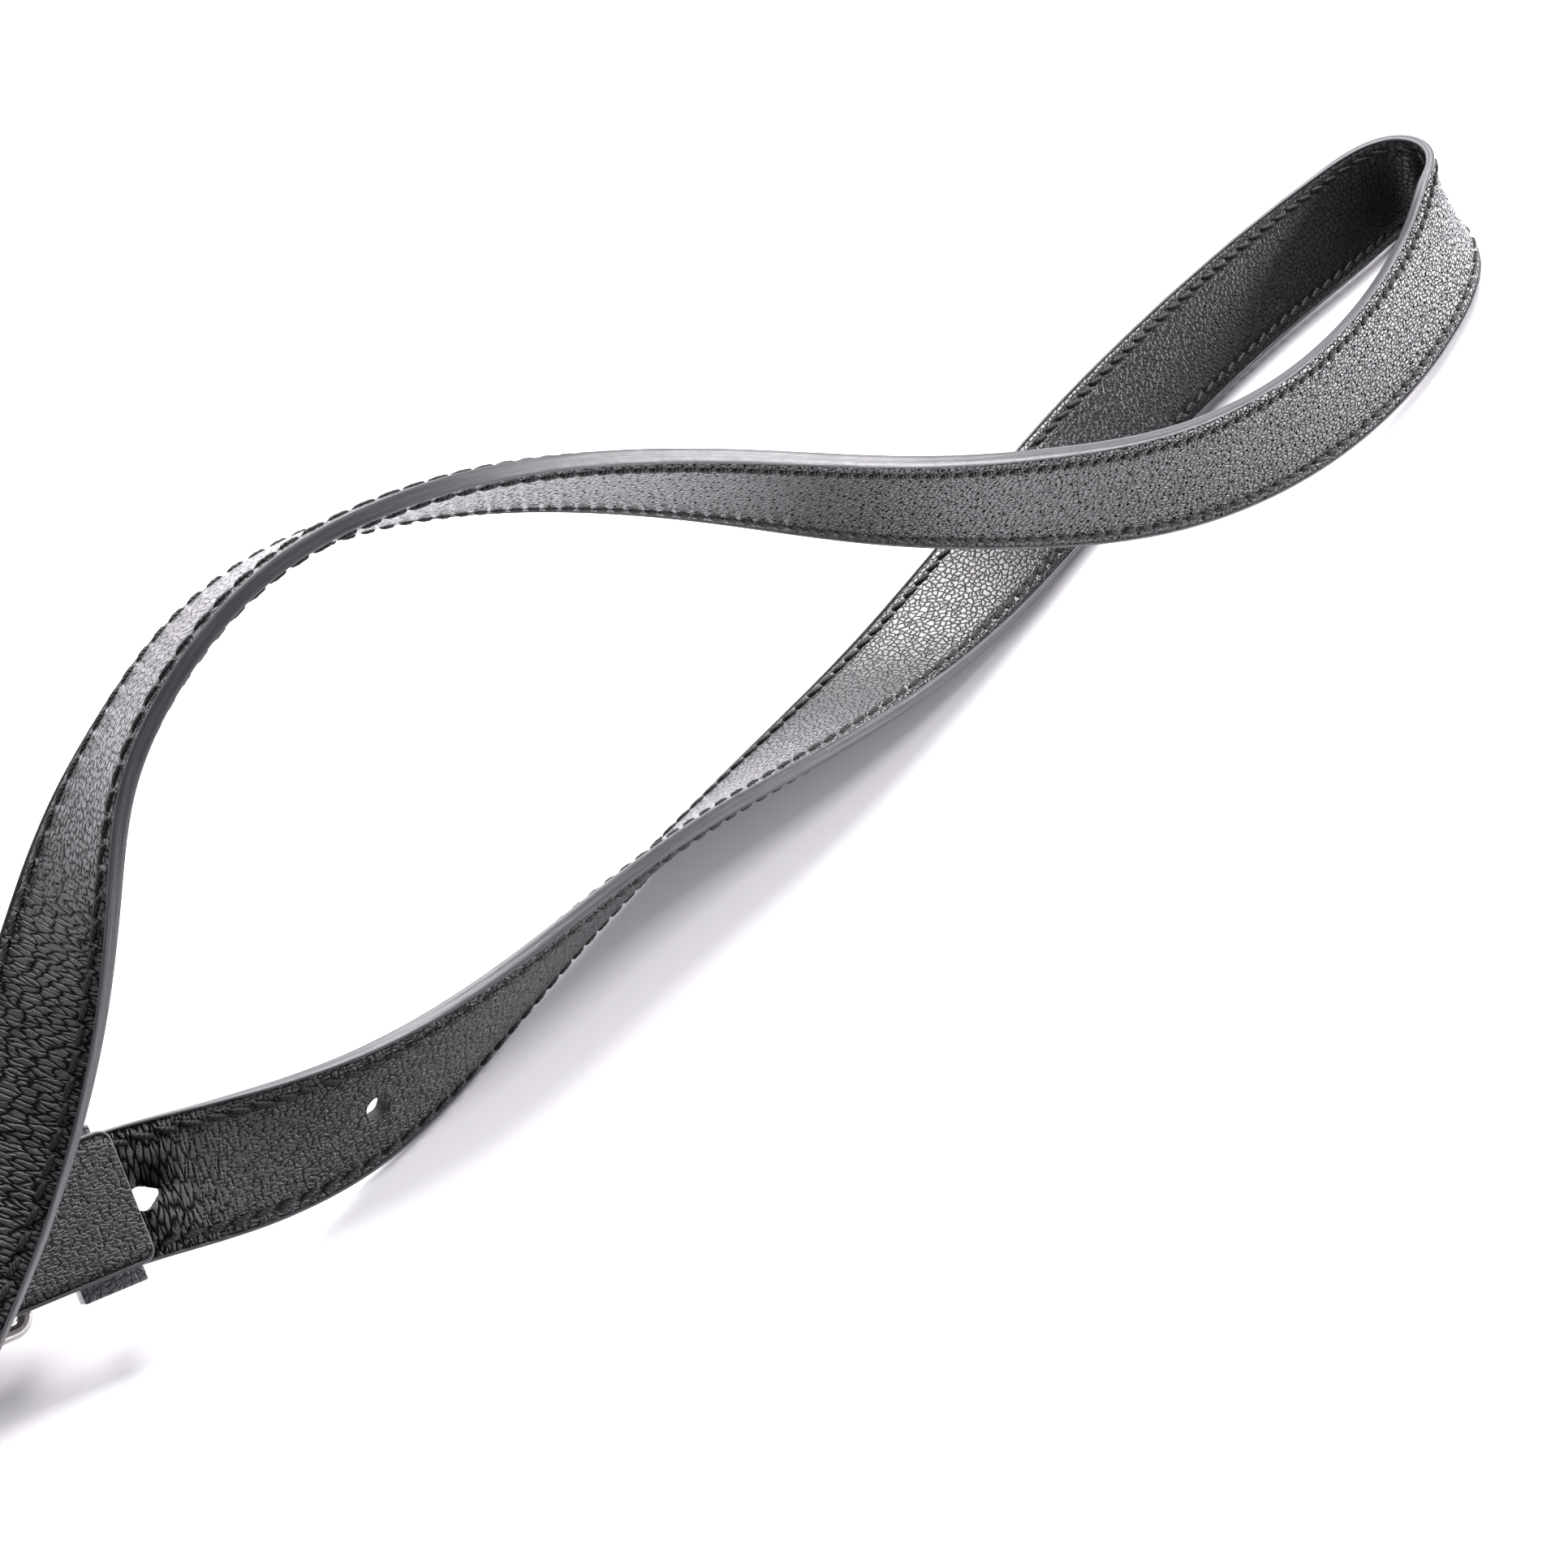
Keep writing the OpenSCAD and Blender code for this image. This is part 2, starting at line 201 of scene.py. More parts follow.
def ramp(x, start, end):
    """0 before start, 1 past end, and a smooth step between."""
    f = np.clip((x - start) / (end - start), 0, 1)
    return f * f * (3 - 2 * f)


def lip_lift(s, v):
    """How far the whole strap is pushed outwards round the stretched hole."""
    x = s - STRETCHED_HOLE_S
    away = 1 - ramp(x, -0.5, 3)
    curl = 1.7 * bell(x + 2.2, 3.2) * ramp(v, -6, -0.6) * (1 - ramp(v, -0.2, 0.9))
    bulge = -2.1 * bell(x + 1.8, 3.2) * ramp(v, 0.2, 1.4) * (1 - ramp(v, 3, 7))
    folds = 0.13 * np.sin(2 * math.pi * (x + 0.25 * v) / 1.15) * bell(x + 2, 2.6) * bell(v + 1.8, 2)
    return (curl + bulge + folds) * away


def place(s, v, z):
    """Points of the strap, in metres: s along it, v towards its lower edge, z out."""
    s, v, z = (np.asarray(a, float) for a in np.broadcast_arrays(s, v, z))
    height = z + lip_lift(s, v)
    inside = np.clip(s, 0, LENGTH)
    at = [np.stack([np.interp(inside, S_TABLE, part[:, k]) for k in range(3)], -1)
          for part in (MIDDLE, ALONG, ACROSS, OUT)]
    middle, along, across, out = at
    point = middle + along * (s - inside)[..., None] + across * v[..., None]
    return (point + out * height[..., None] + SHIFT) * MM


# ---------------------------------------------------------------- materials


def linear(colour):
    """Linear RGBA of an sRGB hex colour."""
    parts = [int(colour[i:i + 2], 16) / 255 for i in (1, 3, 5)]
    return [p / 12.92 if p <= 0.04045 else ((p + 0.055) / 1.055) ** 2.4 for p in parts] + [1]


MATH = "ShaderNodeMath"
NOISE = "ShaderNodeTexNoise"
CELLS = "ShaderNodeTexVoronoi"
RAMP = "ShaderNodeValToRGB"
MIX = "ShaderNodeMix"
BUMP = "ShaderNodeBump"
# Where a colour Mix node keeps its two colours and its result
MIX_A, MIX_B, MIX_RESULT = 6, 7, 2


class Finish:
    """A material being built: its node tree, its shader and one way to add a node."""

    def __init__(self, name):
        self.material = bpy.data.materials.new(name)
        self.material.use_nodes = True
        self.tree = self.material.node_tree
        self.shader = self.tree.nodes["Principled BSDF"]

    def feed(self, node, sockets):
        """Links each socket to an output, or gives it a constant."""
        for name, value in sockets.items():
            if isinstance(value, bpy.types.NodeSocket):
                self.tree.links.new(value, node.inputs[name])
            else:
                node.inputs[name].default_value = value

    def add(self, kind, sockets, out=0, stops=(), **settings):
        """One output of a new node, with its settings, its ramp's stops and its sockets."""
        node = self.tree.nodes.new(kind)
        for name, value in settings.items():
            setattr(node, name, value)
        for k, (position, colour) in enumerate(stops):
            elements = node.color_ramp.elements
            stop = elements[k] if k < 2 else elements.new(1)
            stop.position = position
            stop.color = linear(colour) if isinstance(colour, str) else [colour] * 3 + [1]
        self.feed(node, sockets)
        return node.outputs[out]

    def millimetres(self, scale):
        """The piece's UV map in millimetres, times a scale along, across and through it."""
        uv = self.add("ShaderNodeUVMap", {}, uv_map="UVMap")
        return self.add("ShaderNodeMapping", {"Vector": uv, "Scale": [s / MM for s in scale]})

    def warped(self, scale, size, amount):
        """The same, pushed about by noise, so that no row or cell is straight."""
        base = self.millimetres(scale)
        noise = self.add(NOISE, {"Vector": base, "Scale": size, "Detail": 2}, "Color")
        return self.add(MIX, {MIX_A: base, MIX_B: noise, 0: amount}, MIX_RESULT,
                        data_type="RGBA", blend_type="LINEAR_LIGHT")


def grained_leather(name, cell_along, cell_across, crevice_shade_and_pore_colour, top_colour, gloss, pore, relief):
    """Drum-dyed black goatskin with a glazed finish: a small raised grain with dark pores, which
    glints where it is lit from behind. Its colour is painted darker in the crevices as painted
    shade, and varies in broad patches. Cells are in millimetres."""
    f = Finish(name)
    cells = f.warped((1 / cell_along, 1 / cell_across, 1), 0.9, 0.55)
    grain = f.add(CELLS, {"Vector": cells, "Scale": 1.0, "Randomness": 0.9},
                  feature="DISTANCE_TO_EDGE", voronoi_dimensions="2D")
    # Where the strap is creased, the grain gives way to wrinkles that run across it
    crease = f.add("ShaderNodeAttribute", {}, "Fac", attribute_name="crease")
    wrinkles = f.add(CELLS, {"Vector": f.warped((1.25, 0.33, 1), 0.9, 0.5), "Scale": 1.0,
                             "Randomness": 1.0},
                     feature="DISTANCE_TO_EDGE", voronoi_dimensions="2D")
    grain = f.add(MIX, {"Factor": crease, "A": grain, "B": wrinkles})
    tops = f.add(RAMP, {"Fac": grain}, stops=[(0.0, 0.12), (0.1, 0.6), (0.22, 0.93), (0.4, 1.0)])
    pore_field = f.add(CELLS, {"Vector": f.warped((0.5, 0.62, 1), 1.1, 0.3), "Scale": 1.0,
                               "Randomness": 0.85},
                       feature="F1", voronoi_dimensions="2D")
    pores = f.add(RAMP, {"Fac": pore_field}, stops=[(0.1, pore), (0.18, 1.0)])
    filled = f.add(MATH, {0: crease, 1: 2.4}, operation="MULTIPLY")
    pores = f.add(MATH, {0: pores, 1: filled}, operation="ADD")
    pores = f.add(MATH, {0: pores, 1: 1.0}, operation="MINIMUM")
    fine = f.add(NOISE, {"Vector": f.millimetres((2.6, 4.2, 1)), "Scale": 1.0, "Detail": 4,
                         "Roughness": 0.6})
    broad = f.add(NOISE, {"Vector": f.millimetres((0.05, 0.09, 1)), "Scale": 1.0, "Detail": 3})
    raised = f.add(MATH, {0: tops, 1: pores}, operation="MULTIPLY")

    height = f.add(MATH, {0: fine, 1: 0.5}, operation="MULTIPLY")
    height = f.add(MATH, {0: raised, 1: height}, operation="ADD")
    depth = f.add(MATH, {0: crease, 1: 1.5}, operation="MULTIPLY")
    depth = f.add(MATH, {0: depth, 1: relief}, operation="ADD")
    height = f.add(MATH, {0: height, 1: depth}, operation="MULTIPLY")
    normal = f.add(BUMP, {"Height": height, "Strength": 1.0, "Distance": 0.22 * MM})

    # Colour: painted shade in the grain's crevices, with darker pores and broad patches of tone
    crevice_shade_and_tone = f.add(MATH, {0: broad, 1: 0.5}, operation="ADD")
    crevice_shade_and_tone = f.add(MATH, {0: raised, 1: crevice_shade_and_tone}, operation="MULTIPLY")
    colour = f.add(RAMP, {"Fac": crevice_shade_and_tone}, stops=[(0.0, crevice_shade_and_pore_colour), (0.9, top_colour)])

    worn = f.add(MATH, {0: tops, 1: 0.14}, operation="MULTIPLY")
    rough = f.add(MATH, {0: gloss + 0.16, 1: worn}, operation="SUBTRACT")
    haze = f.add(MATH, {0: fine, 1: 0.1}, operation="MULTIPLY")
    rough = f.add(MATH, {0: rough, 1: haze}, operation="ADD")

    sharp = f.add(MATH, {0: crease, 1: 1.8}, operation="MULTIPLY")
    sharp = f.add(MATH, {0: sharp, 1: 1.0}, operation="ADD")
    shine = f.add(MATH, {0: raised, 1: sharp}, operation="POWER")
    specular = f.add(MATH, {0: shine, 1: 0.35}, operation="MULTIPLY")
    f.feed(f.shader, {
        "Normal": normal, "Coat Normal": normal, "Base Color": colour, "Roughness": rough,
        "Specular IOR Level": specular, "Coat Weight": shine, "Coat Roughness": 0.24,
        "IOR": 1.42, "Coat IOR": 1.45,
    })
    return f.material


def edge_paint():
    """Acrylic edge paint, put on in layers and burnished: a smooth satin skin, with faint
    lines along it where the plies meet."""
    f = Finish("burnished_edge_paint")
    streaks = f.add(NOISE, {"Vector": f.millimetres((0.12, 3.4, 1)), "Scale": 1.0, "Detail": 4})
    lumps = f.add(NOISE, {"Vector": f.millimetres((0.7, 1.2, 1)), "Scale": 1.0, "Detail": 3})
    colour = f.add(RAMP, {"Fac": streaks}, stops=[(0.3, "#29292b"), (0.7, "#434346")])
    rough = f.add(MATH, {0: lumps, 1: 0.2}, operation="MULTIPLY")
    rough = f.add(MATH, {0: rough, 1: 0.34}, operation="ADD")
    low = f.add(BUMP, {"Height": streaks, "Strength": 0.6, "Distance": 0.08 * MM})
    normal = f.add(BUMP, {"Height": lumps, "Normal": low, "Strength": 0.25,
                          "Distance": 0.12 * MM})
    f.feed(f.shader, {"Base Color": colour, "Roughness": rough, "Normal": normal})
    return f.material


def waxed_thread():
    """Bonded three-ply polyester thread with wax on it: black, with a dull shine on the twist."""
    f = Finish("waxed_polyester_thread")
    twist = f.add("ShaderNodeTexWave",
                  {"Vector": f.millimetres((1, 1, 1)), "Scale": 0.62, "Distortion": 0.6,
                   "Detail": 1},
                  "Fac", bands_direction="DIAGONAL")
    colour = f.add(RAMP, {"Fac": twist}, stops=[(0.1, "#050506"), (0.8, "#161618")])
    normal = f.add(BUMP, {"Height": twist, "Strength": 0.7, "Distance": 0.12 * MM})
    f.feed(f.shader, {"Base Color": colour, "Normal": normal, "Roughness": 0.6,
                      "Specular IOR Level": 0.3})
    return f.material


def cut_leather():
    """The raw inside of punched leather: matt, fibrous and dyed right through."""
    f = Finish("dyed_cut_leather")
    place_in_piece = f.add("ShaderNodeTexCoord", {}, "Object")
    fibres = f.add(NOISE, {"Vector": place_in_piece, "Scale": 2600, "Detail": 4})
    colour = f.add(RAMP, {"Fac": fibres}, stops=[(0.3, "#1c1a1a"), (0.7, "#423f3e")])
    normal = f.add(BUMP, {"Height": fibres, "Strength": 0.8, "Distance": 0.12 * MM})
    f.feed(f.shader, {"Base Color": colour, "Normal": normal, "Roughness": 0.85})
    return f.material


def woven_reinforcement():
    """Non-woven nylon between the plies, of which only the cut edge shows in a hole."""
    f = Finish("nylon_reinforcement")
    place_in_piece = f.add("ShaderNodeTexCoord", {}, "Object")
    weave = f.add(NOISE, {"Vector": place_in_piece, "Scale": 3200, "Detail": 2})
    colour = f.add(RAMP, {"Fac": weave}, stops=[(0.3, "#2b2a29"), (0.7, "#4a4846")])
    f.feed(f.shader, {"Base Color": colour, "Roughness": 0.9})
    return f.material


def nickel_plate():
    """Bright nickel plate on steel wire: a warm white metal with fine rubbing marks."""
    f = Finish("bright_nickel_plate")
    place_in_piece = f.add("ShaderNodeTexCoord", {}, "Object")
    rub = f.add(NOISE, {"Vector": place_in_piece, "Scale": 900, "Detail": 6, "Roughness": 0.7})
    colour = f.add(RAMP, {"Fac": rub}, stops=[(0.3, "#c3c0ba"), (0.7, "#d6d3cd")])
    rough = f.add(MATH, {0: rub, 1: 0.22}, operation="MULTIPLY")
    rough = f.add(MATH, {0: rough, 1: 0.08}, operation="ADD")
    normal = f.add(BUMP, {"Height": rub, "Strength": 0.08, "Distance": 0.05 * MM})
    f.feed(f.shader, {"Base Color": colour, "Roughness": rough, "Normal": normal, "Metallic": 1})
    return f.material


OUTER = grained_leather(
    "glazed_goatskin", cell_along=1.15, cell_across=0.95, crevice_shade_and_pore_colour="#080809",
    top_colour="#141315", gloss=0.28, pore=0.6, relief=0.35)
LINING = grained_leather(
    "glazed_goatskin_lining", cell_along=1.3, cell_across=0.62, crevice_shade_and_pore_colour="#080809",
    top_colour="#141315", gloss=0.30, pore=0.0, relief=1.1)
# The keeper is the same black goatskin, its colours painted lighter as a painted sheen for the
# light it catches
KEEPER_LEATHER_PAINTED_LIGHTER = grained_leather(
    "keeper_goatskin_painted_lighter", cell_along=1.1, cell_across=1.0, crevice_shade_and_pore_colour="#29292b",
    top_colour="#545356", gloss=0.45, pore=0.5, relief=0.5)
PAINT = edge_paint()
THREAD = waxed_thread()
RAW = cut_leather()
NYLON = woven_reinforcement()
NICKEL = nickel_plate()


# ---------------------------------------------------------------- meshes


def new_piece(name, points, faces, materials, face_material=None, uv=None, angle=40):
    """A mesh object at the origin, shaded smooth, with its UV map in metres."""
    mesh = bpy.data.meshes.new(name)
    mesh.from_pydata(np.asarray(points).reshape(-1, 3).tolist(), [], faces)
    for material in materials:
        mesh.materials.append(material)
    if face_material is not None:
        mesh.polygons.foreach_set("material_index", face_material)
    if uv is not None:
        layer = mesh.uv_layers.new(name="UVMap")
        corner = np.zeros(len(mesh.loops), int)
        mesh.loops.foreach_get("vertex_index", corner)
        layer.data.foreach_set("uv", (np.asarray(uv)[corner] * MM).ravel())
    mesh.validate()
    piece = bpy.data.objects.new(name, mesh)
    bpy.context.scene.collection.objects.link(piece)
    smooth(piece, angle)
    return piece


def smooth(piece, angle=40):
    """Shades a piece smooth but for its edges sharper than the angle, in degrees."""
    bpy.ops.object.select_all(action="DESELECT")
    bpy.context.view_layer.objects.active = piece
    piece.select_set(True)
    bpy.ops.object.shade_smooth_by_angle(angle=math.radians(angle))
    piece.select_set(False)


def strap_rows():
    """Stations along the strap: four to a stitch, and closer where it is creased or holed."""
    first, last = PAINT_T, LENGTH - PAINT_T
    fine = [(s_of(14.6), s_of(17.6)), (STRETCHED_HOLE_S - 14, STRETCHED_HOLE_S + 8),
            (FIRST_HOLE_S - 6, FIRST_HOLE_S + 6)]
    step = STITCH_PITCH / 4
    rows = [first + d for d in (0, 0.08, 0.25, 0.55)]
    k = 1
    while k * step < last - 9:
        rows.append(k * step)
        if any(a < k * step < b for a, b in fine):
            rows.append((k + 0.5) * step)
        k += 1
    rows += [last - d for d in (8.2, 7.2, 6.2, 5.2, 4.2, 3.3, 2.5, 1.8, 1.2, 0.7, 0.35, 0.12, 0)]
    rows = sorted(r for r in rows if r >= first)
    return np.array([r for i, r in enumerate(rows) if i == 0 or r - rows[i - 1] > 0.03])


ROWS = strap_rows()
# Stations across half the strap, closer at the stitching and the edge
COLUMNS_HALF = [0.9, 1.9, 2.9, 3.9, 4.9, 5.8, 6.5, 7.0, 7.4, 7.7, 8.0, 8.35, 8.8, 9.2, 9.45, 9.6,
                9.75]
COLUMNS = np.array([-c for c in reversed(COLUMNS_HALF)] + [0] + COLUMNS_HALF)


def ply_share(s):
    """How much of the ply's full width is left near the strap's two ends."""
    half = HALF_W - PAINT_T
    start = rounded(half, BACKING_CORNER - PAINT_T, s - PAINT_T)
    end = rounded(half, TIP_CORNER - PAINT_T, LENGTH - PAINT_T - s)
    return np.minimum(start, end) / half


def round_hole(radius, ragged):
    """Outline of a punched hole: its radius at an angle."""
    return lambda a: radius + ragged * (np.sin(3 * a + 1) + 0.6 * np.sin(7 * a))


def drawn_hole(points):
    """Outline through given (angle in degrees, radius) pairs."""
    angles = np.radians([p[0] for p in points])
    radii = [p[1] for p in points]
    return lambda a: np.interp(a, angles, radii, period=2 * math.pi)


STRETCHED = drawn_hole([(-173, 2.5), (-160, 1.9), (-144, 1.5), (-100, 1.35), (-61, 1.7), (-30, 2.2),
                        (0, 3.2), (40, 2.3), (81, 2.0), (120, 1.5), (155, 1.6), (172, 2.1)])
PRONG_SLOT = drawn_hole([(-180, 3.5), (-150, 2.4), (-120, 1.6), (-90, 1.4), (-60, 1.6), (-30, 2.4),
                         (0, 3.5), (30, 2.4), (60, 1.6), (90, 1.4), (120, 1.6), (150, 2.4)])
# Each hole: place along the strap, offset along and across, half length of its patch, outline.
# The first is drawn a little wider than its 3.5 mm bore, as room for its ragged rim.
HOLES = [
    (FIRST_HOLE_S, 0, 0, 3.6, round_hole(1.82, 0.04)),
    (STRETCHED_HOLE_S, -1.5, 0.7, 6.3, STRETCHED),
    (PRONG_SLOT_S, 0, 0, 5.4, PRONG_SLOT),
    (LAST_HOLE_S, 0, 0, 3.6, round_hole(1.75, 0.03)),
]
# Half width of the patch of sheet round each hole, and how many rings of faces fill it
PATCH_V = 4.9
PATCH_RINGS = 7


def ply_sheet():
    """The ply's flat pattern: points (s, v), faces, distance to the nearest rim, and rims."""
    n, m = len(ROWS), len(COLUMNS)
    share = ply_share(ROWS)
    points = [(ROWS[i], COLUMNS[j] * share[i]) for i in range(n) for j in range(m)]
    rim_distance = [9.0] * len(points)
    taken = set()
    patches = []
    j0 = int(np.argmin(abs(COLUMNS + PATCH_V)))
    j1 = int(np.argmin(abs(COLUMNS - PATCH_V)))
    for s0, ds, dv, reach, outline in HOLES:
        i0 = int(np.argmin(abs(ROWS - (s0 + ds - reach))))
        i1 = int(np.argmin(abs(ROWS - (s0 + ds + reach))))
        taken.update((i, j) for i in range(i0, i1) for j in range(j0, j1))
        border = [(i, j0) for i in range(i0, i1)] + [(i1, j) for j in range(j0, j1)]
        border += [(i, j1) for i in range(i1, i0, -1)] + [(i0, j) for j in range(j1, j0, -1)]
        patches.append((s0 + ds, dv, reach, outline, [i * m + j for i, j in border]))
    faces = [
        (i * m + j, i * m + j + 1, (i + 1) * m + j + 1, (i + 1) * m + j)
        for i in range(n - 1) for j in range(m - 1) if (i, j) not in taken
    ]
    rims = []
    for s0, v0, reach, outline, border in patches:
        around = len(border)
        edge = np.array([points[k] for k in border])
        angle = np.arctan2((edge[:, 1] - v0) / PATCH_V, (edge[:, 0] - s0) / reach)
        radius = outline(angle)
        rim = np.stack([s0 + radius * np.cos(angle), v0 + radius * np.sin(angle)], 1)
        loops = [border]
        for k in range(PATCH_RINGS - 1, -1, -1):
            f = (k / PATCH_RINGS) ** 1.7
            ring = rim + (edge - rim) * f
            loops.append(list(range(len(points), len(points) + around)))
            points += [tuple(p) for p in ring]
            rim_distance += list(np.linalg.norm(ring - rim, axis=1))
        for outer, inner in zip(loops, loops[1:]):
            for k in range(around):
                q = (k + 1) % around
                faces.append((outer[k], inner[k], inner[q], outer[q]))
        rims.append(loops[-1])
    used = sorted({k for face in faces for k in face})
    renumber = {old: new for new, old in enumerate(used)}
    points = np.array(points)[used]
    faces = [tuple(renumber[k] for k in face) for face in faces]
    return points, faces, np.array(rim_distance)[used]


SHEET_POINTS, SHEET_FACES, RIM_DISTANCE = ply_sheet()


def creases(seed, start, end, count, depth):
    """Height of creases pressed across a face where the strap is handled."""
    dice = random.Random(seed)
    lines = [
        (dice.uniform(start, end), dice.uniform(-8, 8), dice.uniform(2.5, 7),
         dice.uniform(0.2, 0.9), dice.uniform(0, 6.28), dice.uniform(0.5, 1) * depth)
        for _ in range(count)
    ]

    def height(s, v):
        total = np.zeros_like(s)
        near = (s > start - 3) & (s < end + 3)
        for at, middle, reach, wave, phase, deep in lines:
            x = s[near] - at - wave * np.sin(0.7 * v[near] + phase)
            total[near] -= deep * bell(x, 0.42) * bell(v[near] - middle, reach)
        return total

    return height


OUTER_CREASES = creases(3, s_of(14.4), s_of(17.3), 75, 0.16)
LINING_CREASES = creases(5, STRETCHED_HOLE_S - 11, STRETCHED_HOLE_S + 6, 34, 0.10)


def face_height(s, v, rim_distance, pressed):
    """Height of a face over the strap's middle: pillowed, creased at the paint, and pulled in
    by the thread."""
    w = abs(v) / np.maximum(ply_share(s), 0.2)
    height = 1.47 - 0.05 * (w / 8) ** 2
    height = height - 0.38 * ramp(w, 8.0, 9.6)
    height = height - 0.13 * bell(w - 9.5, 0.16)
    sewn = ramp(s, s_of(3.4) - 2, s_of(3.4)) * (1 - ramp(s, LENGTH - 10, LENGTH - 8))
    at_hole = 0.5 + 0.5 * np.cos(2 * math.pi * s / STITCH_PITCH)
    height = height - sewn * (0.18 + 0.14 * at_hole) * bell(w - STITCH_V, 0.5)
    height = height - 0.22 * np.exp(-rim_distance / 0.22)
    return height + pressed(s, v)


def ply(name, node, top, bottom, materials, side, crease):
    """One layer of the strap. top and bottom give its heights, and side is the way it faces."""
    s, v = SHEET_POINTS.T
    count = len(s)
    points = np.concatenate([place(s, v, top), place(s, v, bottom)])
    faces = [face if side > 0 else face[::-1] for face in SHEET_FACES]
    back = [tuple(k + count for k in reversed(face)) for face in faces]
    edges = dict.fromkeys(pair for face in faces for pair in zip(face, face[1:] + face[:1]))
    walls = [(b, a, a + count, b + count) for a, b in edges if (b, a) not in edges]
    marks = [0] * len(faces) + [len(materials) - 1] * (len(back) + len(walls))
    uv = np.concatenate([SHEET_POINTS, SHEET_POINTS])
    piece = new_piece(name, points, faces + back + walls, materials, marks, uv)
    strength = piece.data.attributes.new("crease", "FLOAT", "POINT")
    strength.data.foreach_set("value", np.concatenate([crease, crease]))
    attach(piece, "strap")
    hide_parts(node)
    return piece


def outer_leather():
    """The face ply: creased most on the rise over the closure and round the prong, and a little
    as far as the arch."""
    s, v = SHEET_POINTS.T
    top = face_height(s, v, RIM_DISTANCE, OUTER_CREASES)
    worn = ramp(s, s_of(13), s_of(15)) * (1 - ramp(s, s_of(16.4), s_of(18.2)))
    near_prong = 0.8 * bell(s - PRONG_SLOT_S, 14)
    crease = np.maximum(np.maximum(worn, near_prong), 0.35 * (1 - ramp(s, s_of(20), s_of(24))))
    piece = ply("outer_leather_ply", "strap_face", top, CORE_T / 2, [OUTER, RAW], 1, crease)


def lining_leather():
    """The lining ply: creased most round the stretched hole, and a little at both ends."""
    s, v = SHEET_POINTS.T
    top = -face_height(s, v, RIM_DISTANCE, LINING_CREASES)
    pulled = 0.7 * bell(s - STRETCHED_HOLE_S + 2, 9)
    crease = pulled + 0.3 * ramp(s, s_of(42), s_of(44)) + 0.3 * (1 - ramp(s, s_of(2), s_of(4)))
    piece = ply("lining_leather_ply", "strap_lining", top, -CORE_T / 2, [LINING, RAW], -1, crease)


def reinforcement():
    """The strip between the plies, a hair thinner than its room, which shows only in holes."""
    none = np.zeros(len(SHEET_POINTS))
    piece = ply("reinforcement_strip", "strap_reinforcement", none + CORE_T / 2 - 0.02,
                none - CORE_T / 2 + 0.02, [NYLON], 1, none)


# Section of the edge paint: how far it stands out from the plies, and its height
PAINT_SECTION = [(-0.32, 1.02), (-0.14, 1.19), (0.0, 1.17), (0.12, 1.06), (0.2, 0.85), (0.24, 0.55),
                 (0.25, 0.3), (0.215, 0.16), (0.24, 0.02)]
PAINT_SECTION += [(out, -z) for out, z in reversed(PAINT_SECTION[:-1])]


def painted_edge(name, node, side):
    """A skin of paint along one edge of the strap and round half of both its ends."""
    half = HALF_W - PAINT_T
    start_r, end_r = BACKING_CORNER - PAINT_T, TIP_CORNER - PAINT_T
    path = [(PAINT_T, v, -1, 0) for v in np.linspace(0, half - start_r, 9)[:-1]]
    for a in np.linspace(0, math.pi / 2, 9):
        path.append((PAINT_T + start_r * (1 - math.cos(a)), half - start_r * (1 - math.sin(a)),
                     -math.cos(a), math.sin(a)))
    step = STITCH_PITCH / 4
    k = math.ceil((PAINT_T + start_r) / step) + 1
    while k * step < LENGTH - PAINT_T - end_r - 0.3:
        path.append((k * step, half, 0, 1))
        k += 1
    for a in np.linspace(0, math.pi / 2, 22):
        path.append((LENGTH - PAINT_T - end_r * (1 - math.sin(a)), half - end_r * (1 - math.cos(a)),
                     math.sin(a), math.cos(a)))
    path += [(LENGTH - PAINT_T, v, 1, 0) for v in np.linspace(half - end_r, 0, 4)[1:]]
    path = np.array(path)
    run = np.concatenate([[0], np.cumsum(np.hypot(*np.diff(path[:, :2], axis=0).T))])
    rng = np.random.default_rng(11 + side)
    thick_and_thin = rng.uniform(-0.035, 0.035, int(run[-1] / 6) + 2)
    wobble = np.interp(run, np.arange(0, run[-1] + 8, 6), thick_and_thin)
    points, uv = [], []
    around = len(PAINT_SECTION)
    for k, (out, z) in enumerate(PAINT_SECTION):
        reach = out + (wobble if abs(z) < 1 else 0)
        s = path[:, 0] + path[:, 2] * reach
        v = path[:, 1] + path[:, 3] * reach
        points.append(place(s, side * v, z))
        uv.append(np.stack([run, np.full_like(run, 0.35 * k)], 1))
    points = np.stack(points, 1).reshape(-1, 3)
    uv = np.stack(uv, 1).reshape(-1, 2)
    faces = []
    for i in range(len(path) - 1):
        for k in range(around):
            q = (k + 1) % around
            face = (i * around + k, (i + 1) * around + k, (i + 1) * around + q, i * around + q)
            faces.append(face if side < 0 else face[::-1])
    caps = [tuple(range(around)), tuple(range(len(points) - around, len(points)))]
    faces.append(caps[0][::-1] if side > 0 else caps[0])
    faces.append(caps[1] if side > 0 else caps[1][::-1])
    piece = new_piece(name, points, faces, [PAINT], uv=uv, angle=60)
    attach(piece, "strap")
    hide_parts(node)


